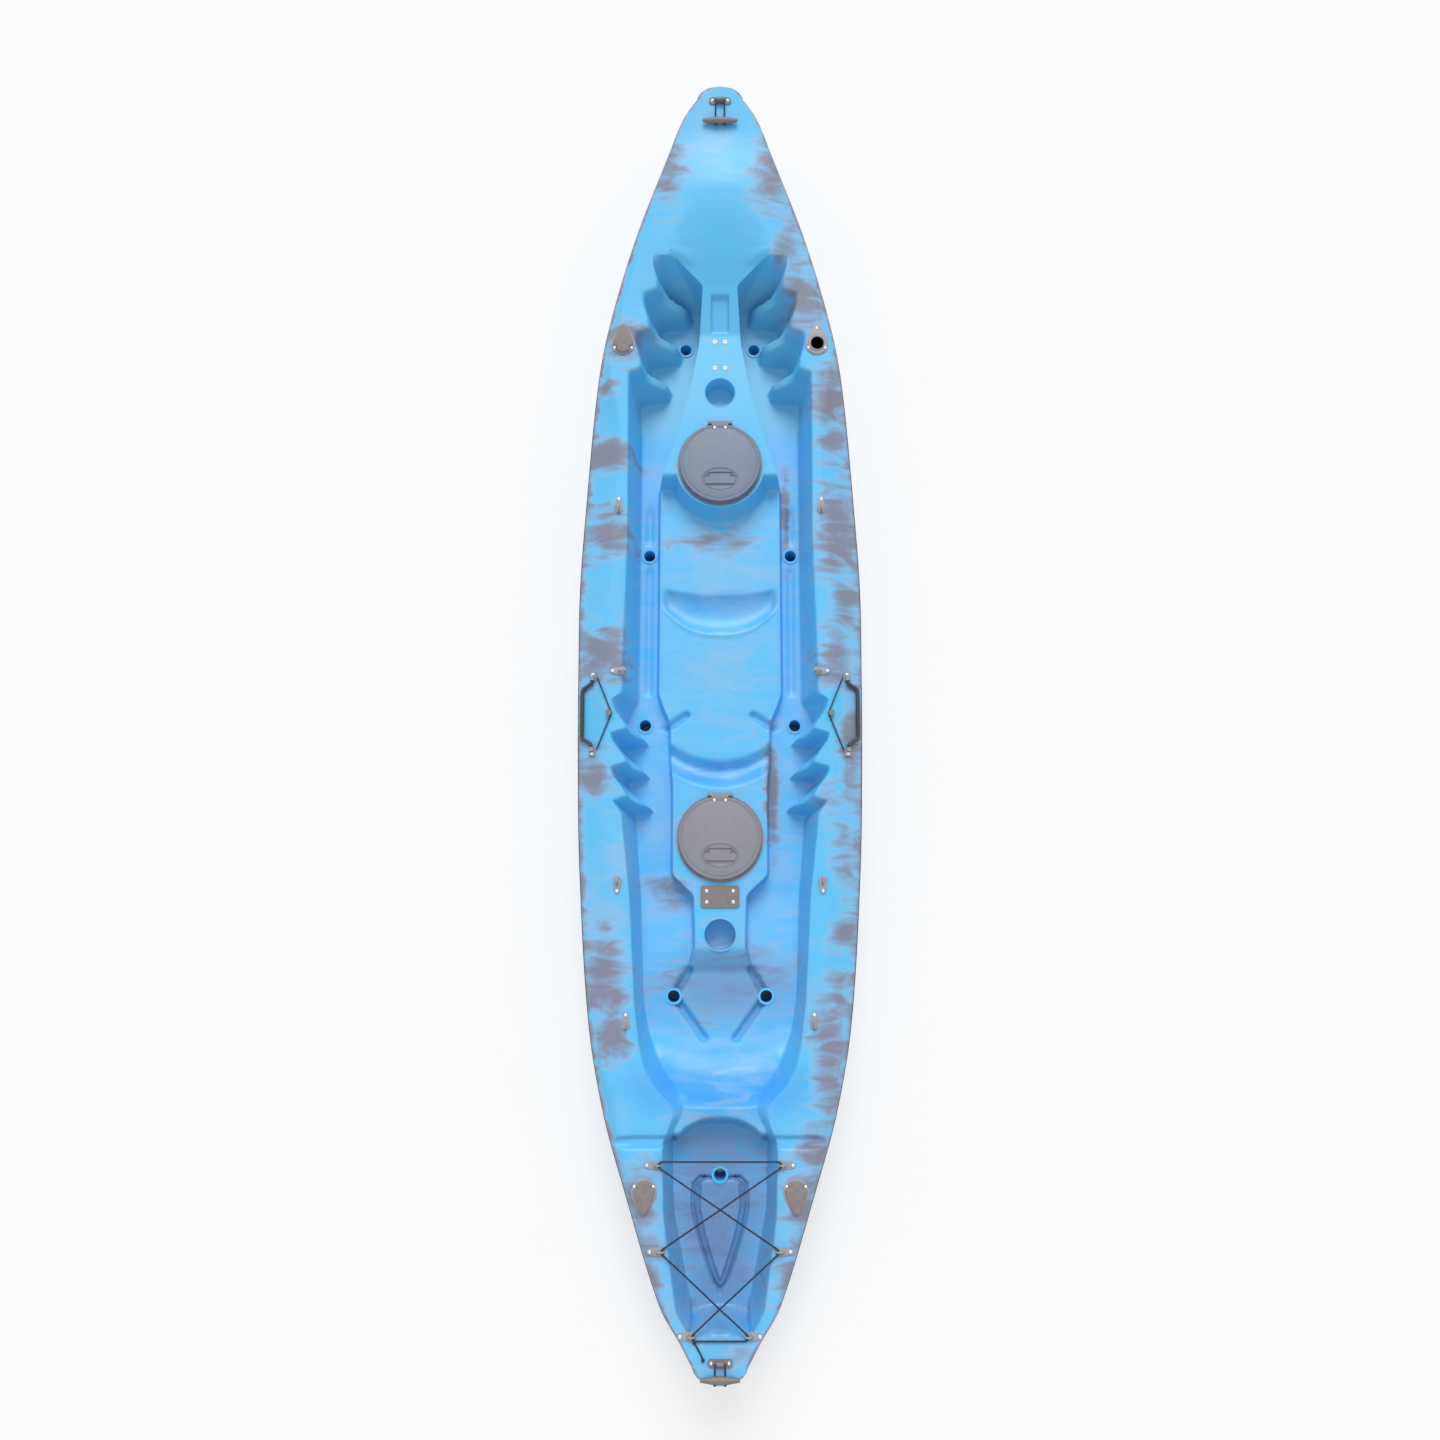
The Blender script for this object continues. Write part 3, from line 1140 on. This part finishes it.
# Deck loops
LOOP_REACH, EYE_RADIUS, EYE_WIRE, EYE_HEIGHT = 30, 9, 3, 7
PAD_PLATE, PAD_WIDE, PAD_NARROW = 3.5, 13, 8.5


def deck_loop():
    """A pad with an upright eye at its wide end."""
    pads = [teardrop(PAD_WIDE - d, PAD_NARROW - d, LOOP_REACH, z, 40)
            for d, z in ((0, -1.5), (0, PAD_PLATE - 0.8), (0.3, PAD_PLATE - 0.2), (1, PAD_PLATE))]
    pad = placed(loft(pads), Matrix.Translation((0, LOOP_REACH, 0)) @ Matrix.Rotation(math.pi, 4, "Z"))
    arc = [math.pi * k / 14 for k in range(15)]
    path = [(0, LOOP_REACH + EYE_RADIUS, 1)]
    path += [(0, LOOP_REACH + EYE_RADIUS * math.cos(a), EYE_HEIGHT + EYE_RADIUS * math.sin(a)) for a in arc]
    path += [(0, LOOP_REACH - EYE_RADIUS, 1)]
    rings = []
    for p in path:
        out = Vector((0, p[1] - LOOP_REACH, max(0, p[2] - EYE_HEIGHT))).normalized()
        rings.append([Vector(p) + EYE_WIRE * (math.cos(t) * out + math.sin(t) * Vector((1, 0, 0)))
                      for t in turns(12)])
    return gathered(pad, loft(rings))


class KAYAK_OT_deck_loops(bpy.types.Operator):
    """Loops for seat straps and for the lacing, with their screws."""

    bl_idname = "kayak.deck_loops"
    bl_label = "Deck loops"

    def execute(self, context):
        for name, places in (("gear", GEAR_LOOPS), ("lace", LACE_LOOPS)):
            frames = both_sides(places)
            eyes = placed(deck_loop(), *frames)
            piece(name + "_eyes", eyes, "boat", "fitting_black", [name + "_loops"], finish="deck_loop")
            screws(name + "_eye_screws", name + "_loop_screws", "boat", frames, [(0, 0, PAD_PLATE)], 13)
        return {"FINISHED"}


# Side handles
HANDLE_SPAN, ANCHOR_HALF, BAIL_Z, BAIL_REACH, GRIP = 229, 13, 9, 32, 7
BAIL_HALF = HANDLE_SPAN / 2 - ANCHOR_HALF - 4
BAIL_ROUTE = ((0, 2), (1.5, -3), (6, -8), (BAIL_REACH - 6, -20), (BAIL_REACH - 1.5, -25), (BAIL_REACH, -31))


def rounded(points, steps=6):
    """A smooth path through a few points."""
    count = len(points)
    path = []
    for i in range(count - 1):
        a, b, c, d = (Vector(points[min(max(k, 0), count - 1)]) for k in range(i - 1, i + 3))
        for k in range(steps):
            t = k / steps
            path.append(0.5 * (2 * b + (c - a) * t + (2 * a - 5 * b + 4 * c - d) * t * t
                               + (3 * b - a - 3 * c + d) * t ** 3))
    return path + [Vector(points[-1])]


def handle_grip():
    """The swinging grip of a side handle, ribbed where the hand goes."""
    half = [(x, BAIL_HALF + y, BAIL_Z) for x, y in BAIL_ROUTE]
    path = rounded(half, 4)
    straight = 2 * path[-1].y
    ribs = [Vector((BAIL_REACH, path[-1].y - straight * k / 56, BAIL_Z)) for k in range(1, 56)]
    path = path + ribs + [Vector((p.x, -p.y, p.z)) for p in reversed(path)]
    radii = []
    for p in path:
        rib = 0.45 * math.cos(math.tau * p.y / 9.6) if abs(p.y) < 50 else 0
        radii.append(GRIP - 1.2 + 0.6 * (1 - smooth(40, 66, abs(p.y))) + rib)
    bail = tube(path, radii, False, 16)
    pin = turned([(0, 0), (3, 0), (3, 14), (0, 14)], 20)
    ends = [Matrix.Translation((0, s * (BAIL_HALF - 2), BAIL_Z)) @ Matrix.Rotation(-s * math.pi / 2, 4, "X")
            for s in (-1, 1)]
    return stamp(bail, pin, ends)


class KAYAK_OT_side_handles(bpy.types.Operator):
    """Side handles' grips and screws."""

    bl_idname = "kayak.side_handles"
    bl_label = "Side handles"

    def execute(self, context):
        for side, sign in SIDES:
            place = on_deck(*HANDLE) if sign > 0 else MIRROR @ on_deck(*HANDLE)
            piece(side + "_grip", placed(handle_grip(), place), side + "_handle", "fitting_grey",
                  [side + "_handle_bail"], finish="handle_strap")
            spots = [(0, s * (HANDLE_SPAN / 2 + 6), 5) for s in (-1, 1)]
            screws(side + "_grip_screws", side + "_handle_screws", "boat", [place], spots, 15)
        return {"FINISHED"}


# Toggles, drawn on their saddle with the grip along -Y
TOGGLE_Z, TOGGLE_RADIUS, TOGGLE_ARM, TOGGLE_LENGTH, SADDLE_HALF = 12.5, 11, 14, 110, 24
TOGGLES = (("bow", BOW_SADDLE_Y, 69), ("stern", STERN_SADDLE_Y, 40))


class KAYAK_OT_toggles(bpy.types.Operator):
    """Bow and stern toggle grips and saddle screws."""

    bl_idname = "kayak.toggles"
    bl_label = "Toggles"

    def execute(self, context):
        for name, y, reach in TOGGLES:
            place = on_deck(0, y)
            half, steps = TOGGLE_LENGTH / 2, 12
            profile = [(0, -half), (3.0, -half), (4.6, 0.6 - half)]
            profile += [(TOGGLE_RADIUS - 5.5 * (k / steps) ** 2, k / steps * (half - 1.8))
                        for k in range(-steps, steps + 1)]
            profile += [(4.6, half - 0.6), (3.0, half), (0, half)]
            grip = placed(turned(profile, 40, "X"), place @ Matrix.Translation((0, -reach, TOGGLE_Z)))
            piece(name + "_grip", grip, name + "_toggle", "fitting_grey", [name + "_toggle_grip"])
            spots = [(s * SADDLE_HALF, 0, 4) for s in (-1, 1)]
            screws(name + "_screws", name + "_saddle_screws", "boat", [place], spots, 13)
        return {"FINISHED"}


# Cords, with the half profiles of their knots
LACING_KNOT = (0, -5), (3, -4.2), (5, -2), (5.2, 1), (4, 3.6), (2, 5), (0, 5.2)
TOGGLE_KNOT = (0, -4), (2.4, -3.2), (4, -1), (4, 1), (2.4, 3.2), (0, 4)
# Height of the lacing and of the keepers over the deck, and radius of the keepers' hooks
LACING_RISE, KEEPER_RISE, HOOK_RADIUS = 8, 7, 6


def heading(a, b):
    """Direction of a strand that leaves one round post and meets the next, in degrees."""
    d = b[0] - a[0]
    turn = (b[1] * b[2] - a[1] * a[2]) / math.hypot(d.x, d.y)
    return math.degrees(math.atan2(d.y, d.x) - math.asin(turn))


def wrap(post, start, end, steps=12):
    """Points round a post between two headings."""
    centre, way, radius = post
    turn = ((end - start) * way + 720) % 360
    angles = [math.radians(start + way * turn * k / steps) for k in range(steps + 1)]
    return [centre + way * radius * Vector((math.sin(a), -math.cos(a), 0)) for a in angles]


def cord_piece(name, path, diameter, body, nodes, closed=False):
    """A cord along a path in millimetres, declared with its own length."""
    path = [Vector(p) for p in path]
    made = piece(name, tube(path, diameter / MM / 2, closed, 10), body, "cord", nodes)
    route = [p * MM for p in path + path[:1] * closed]
    length = sum((b - a).length for a, b in zip(route, route[1:]))
    tuple(route[0])
    [tuple(p) for p in route]


def knots(name, profile, steps, points, body):
    """A knot at each point."""
    made = []
    for k, p in enumerate(points):
        knot = placed(turned(profile, steps), Matrix.Translation(p))
        made.append(piece("%s_knot_%d" % (name, k + 1), knot, body, "cord"))
    return made


def strand(a, b, lift, steps=24):
    """A taut stretch between two points, humped where it crosses another at the boat's middle."""
    path = []
    for k in range(1, steps):
        p = a.lerp(b, k / steps)
        p.z += lift * math.exp(-(p.x / 32) ** 2)
        path.append(p)
    return path


def lacing_route(radius):
    """The tank well's lacing: round the inboard leg of each of six eyes."""
    turn = 4 * radius
    inboard = LOOP_REACH + EYE_RADIUS + turn - EYE_WIRE - radius - 0.5
    at = [(x - inboard, y) for x, y, _ in LACE_LOOPS]

    def post(side, i, way):
        return Vector((side * at[i][0], at[i][1], deck_level(*at[i]) + LACING_RISE)), way, turn

    posts = [post(-1, 0, -1), post(1, 0, -1), post(-1, 1, 1), post(1, 2, -1), post(-1, 2, -1), post(1, 1, 1)]
    count = len(posts)
    out = [heading(posts[i], posts[(i + 1) % count]) for i in range(count)]
    wraps = [wrap(posts[i], out[i - 1], out[i]) for i in range(count)]
    path = []
    for i, lift in enumerate((0, 1, 1, 0, -1, -1)):
        path += wraps[i] + strand(wraps[i][-1], wraps[(i + 1) % count][0], lift * (radius + 0.6))
    return path, posts


class KAYAK_OT_cords(bpy.types.Operator):
    """Lacing, paddle keepers and toggle cords."""

    bl_idname = "kayak.cords"
    bl_label = "Cords"

    def execute(self, context):
        sizes = context.scene.kayak_sizes
        radius = sizes.lacing_diameter / MM / 2
        route, posts = lacing_route(radius)
        cord_piece("tank_lacing", route, sizes.lacing_diameter, "boat", ["lacing"], True)
        start = Vector((-posts[3][0].x - 4, posts[3][0].y - 5 * radius - 2, 0))
        end = Vector((-47, STERN_SADDLE_Y + 8, 0))
        tail = rounded([start, 0.3 * start + 0.7 * end + Vector((2, 0, 0)), end], 10)
        tail = [Vector((p.x, p.y, deck_level(p.x, p.y) + radius + 0.5)) for p in tail]
        ends = [p + Vector((0, 0, 1.5)) for p in (tail[0], tail[-1])]
        tied = knots("lacing", LACING_KNOT, 20, ends, "boat")
        cord_piece("lacing_tail", tail, sizes.lacing_diameter, "boat", [])
        self.keepers(sizes.keeper_diameter)
        self.toggle_cords(sizes.toggle_cord)
        return {"FINISHED"}

    def keepers(self, diameter):
        """A cord from each side handle's ends round its hook."""
        radius = diameter / MM / 2
        x, y = HANDLE
        post = Vector((HOOK_X, y, 0)), 1, HOOK_RADIUS + radius + 0.6
        ends = [(Vector((x - 12.5, y + s * (HANDLE_SPAN / 2 - 4), 0)), 1, 0.01) for s in (1, -1)]
        round_hook = wrap(post, heading(ends[0], post), heading(post, ends[1]))
        flat = [ends[0][0].lerp(round_hook[0], k / 12) for k in range(12)] + round_hook
        flat += [round_hook[-1].lerp(ends[1][0], k / 12) for k in range(1, 13)]
        for side, sign in SIDES:
            path = [Vector((sign * p.x, p.y, deck_level(p.x, p.y) + KEEPER_RISE)) for p in flat]
            cord_piece(side + "_paddle_keeper", path, diameter, "boat", [side + "_handle_keeper"])

    def toggle_cords(self, diameter, corner=6.5):
        """A cord through each saddle to both ends of its toggle's holes."""
        for name, y, reach in TOGGLES:
            place = on_deck(0, y)
            end = -reach - TOGGLE_RADIUS - 1
            legs = [Vector((TOGGLE_ARM, end + (-corner - end) * k / 12, TOGGLE_Z)) for k in range(13)]
            turn = [math.pi / 2 * k / 6 for k in range(1, 7)]
            bend = [Vector((TOGGLE_ARM - corner * (1 - math.cos(a)), corner * (math.sin(a) - 1), TOGGLE_Z))
                    for a in turn]
            half = legs + bend
            path = [place @ p for p in half + [Vector((-p.x, p.y, p.z)) for p in reversed(half)]]
            tied = knots(name + "_cord", TOGGLE_KNOT, 16, (path[0], path[-1]), name + "_toggle")
            cord_piece(name + "_cord", path, diameter, name + "_toggle", [name + "_toggle_line"])


# Stage: the camera's place and tilt, its lens, and the floor's half size
CAMERA_PLACE, CAMERA_TILT, SENSOR, LENS, FAR = (0, -0.678, 4.05), math.radians(9), 36, 31.75, 50
FLOOR_HALF = 9
# Half sizes of the oval under the boat that keeps its full shadow
SHADOW_HALF_X, SHADOW_HALF_Y = 0.40, 1.86
# The sun's strength, spread and tilt towards the bow, and the sky's strength as light and as background
SUN, SUN_SPREAD, SUN_TILT = 1.7, math.radians(30), math.radians(-42)
SKY_LIGHT, SKY_SEEN = 0.6, 1.0


class KAYAK_OT_stage(bpy.types.Operator):
    """Floor, light and camera."""

    bl_idname = "kayak.stage"
    bl_label = "Stage"

    def execute(self, context):
        scene = context.scene
        scene.view_settings.view_transform = "Standard"
        self.camera(scene)
        self.floor(scene)
        self.light(scene)
        return {"FINISHED"}

    @staticmethod
    def camera(scene):
        data = bpy.data.cameras.new("photo_camera")
        data.sensor_width, data.lens, data.clip_end = SENSOR, LENS, FAR
        scene.camera = added("photo_camera", data)
        scene.camera.location = CAMERA_PLACE
        scene.camera.rotation_euler = (CAMERA_TILT, 0, 0)

    @staticmethod
    def seen(tree):
        """1 for rays that show the background to the camera, in metal or through glass."""
        path = add_node(tree, "ShaderNodeLightPath")
        total = path.outputs["Is Camera Ray"]
        for name in ("Is Glossy Ray", "Is Transmission Ray"):
            inputs = {0: total, 1: path.outputs[name]}
            total = add_node(tree, "ShaderNodeMath", inputs, operation="MAXIMUM").outputs[0]
        return total

    def floor(self, scene):
        """A pale floor that keeps the shadow under the boat and glows to the camera away from it."""
        bm = bmesh.new()
        bmesh.ops.create_grid(bm, x_segments=1, y_segments=1, size=FLOOR_HALF)
        mesh = meshed("studio_floor", bm)
        finish = Finish("pale_floor", 0.9)
        link, pale = finish.tree.links.new, scene.kayak_colours.floor
        cloud = finish.mapped(finish.noise(3), 0.3, 0.7)
        link(finish.mixed(cloud, rgba(pale, 0.99), rgba(pale)), finish.shader.inputs["Base Color"])
        inputs = {"Scale": (1 / SHADOW_HALF_X, 1 / SHADOW_HALF_Y, 1), "Vector": finish.place}
        place = finish.node("ShaderNodeMapping", inputs).outputs["Vector"]
        away = finish.node("ShaderNodeVectorMath", {0: place}, operation="LENGTH").outputs["Value"]
        share = finish.sum(self.seen(finish.tree), finish.mapped(away, 0.7, 1.2, 0, 0.62), "MULTIPLY")
        glow = finish.node("ShaderNodeEmission").outputs[0]
        mix = finish.node("ShaderNodeMixShader", {0: share, 1: finish.shader.outputs[0], 2: glow})
        link(mix.outputs[0], finish.tree.nodes["Material Output"].inputs["Surface"])
        mesh.materials.append(finish.material)
        added("studio_floor", mesh)

    def light(self, scene):
        """A white sky and a broad sun over the bow."""
        world = bpy.data.worlds.new("studio")
        world.use_nodes = True
        scene.world = world
        tree = world.node_tree
        back = tree.nodes["Background"]
        inputs = {0: self.seen(tree), 2: SKY_LIGHT, 3: SKY_SEEN}
        strength = add_node(tree, "ShaderNodeMix", inputs, data_type="FLOAT")
        tree.links.new(strength.outputs[0], back.inputs["Strength"])
        back.inputs["Color"].default_value = (1, 1, 1, 1)
        data = bpy.data.lights.new("bow_light", "SUN")
        data.energy, data.angle = SUN, SUN_SPREAD
        added("bow_light", data).rotation_euler = (SUN_TILT, 0, 0)


OPERATORS = (KAYAK_OT_stage, KAYAK_OT_cords, KAYAK_OT_deck, KAYAK_OT_hull, KAYAK_OT_hatches,
             KAYAK_OT_rod_holders, KAYAK_OT_deck_loops, KAYAK_OT_side_handles, KAYAK_OT_toggles)


class KAYAK_PT_panel(bpy.types.Panel):
    """Lists the kayak's operators."""

    bl_idname = "KAYAK_PT_panel"
    bl_label = "Kayak"
    bl_space_type = "VIEW_3D"
    bl_region_type = "UI"
    bl_category = "Kayak"

    def draw(self, context):
        for operator in OPERATORS:
            self.layout.operator(operator.bl_idname)


CLASSES = (KayakSizes, KayakColours) + OPERATORS + (KAYAK_PT_panel,)


def register():
    for cls in CLASSES:
        bpy.utils.register_class(cls)
    bpy.types.Scene.kayak_sizes = bpy.props.PointerProperty(type=KayakSizes)
    bpy.types.Scene.kayak_colours = bpy.props.PointerProperty(type=KayakColours)


def unregister():
    del bpy.types.Scene.kayak_colours
    del bpy.types.Scene.kayak_sizes
    for cls in reversed(CLASSES):
        bpy.utils.unregister_class(cls)


def main():
    register()
    make_finishes()
    bpy.ops.kayak.stage()
    bpy.ops.kayak.cords()
    bpy.ops.kayak.deck()
    bpy.ops.kayak.hull()
    bpy.ops.kayak.hatches()
    bpy.ops.kayak.rod_holders()
    bpy.ops.kayak.deck_loops()
    bpy.ops.kayak.side_handles()
    bpy.ops.kayak.toggles()


if __name__ == "__main__":
    main()
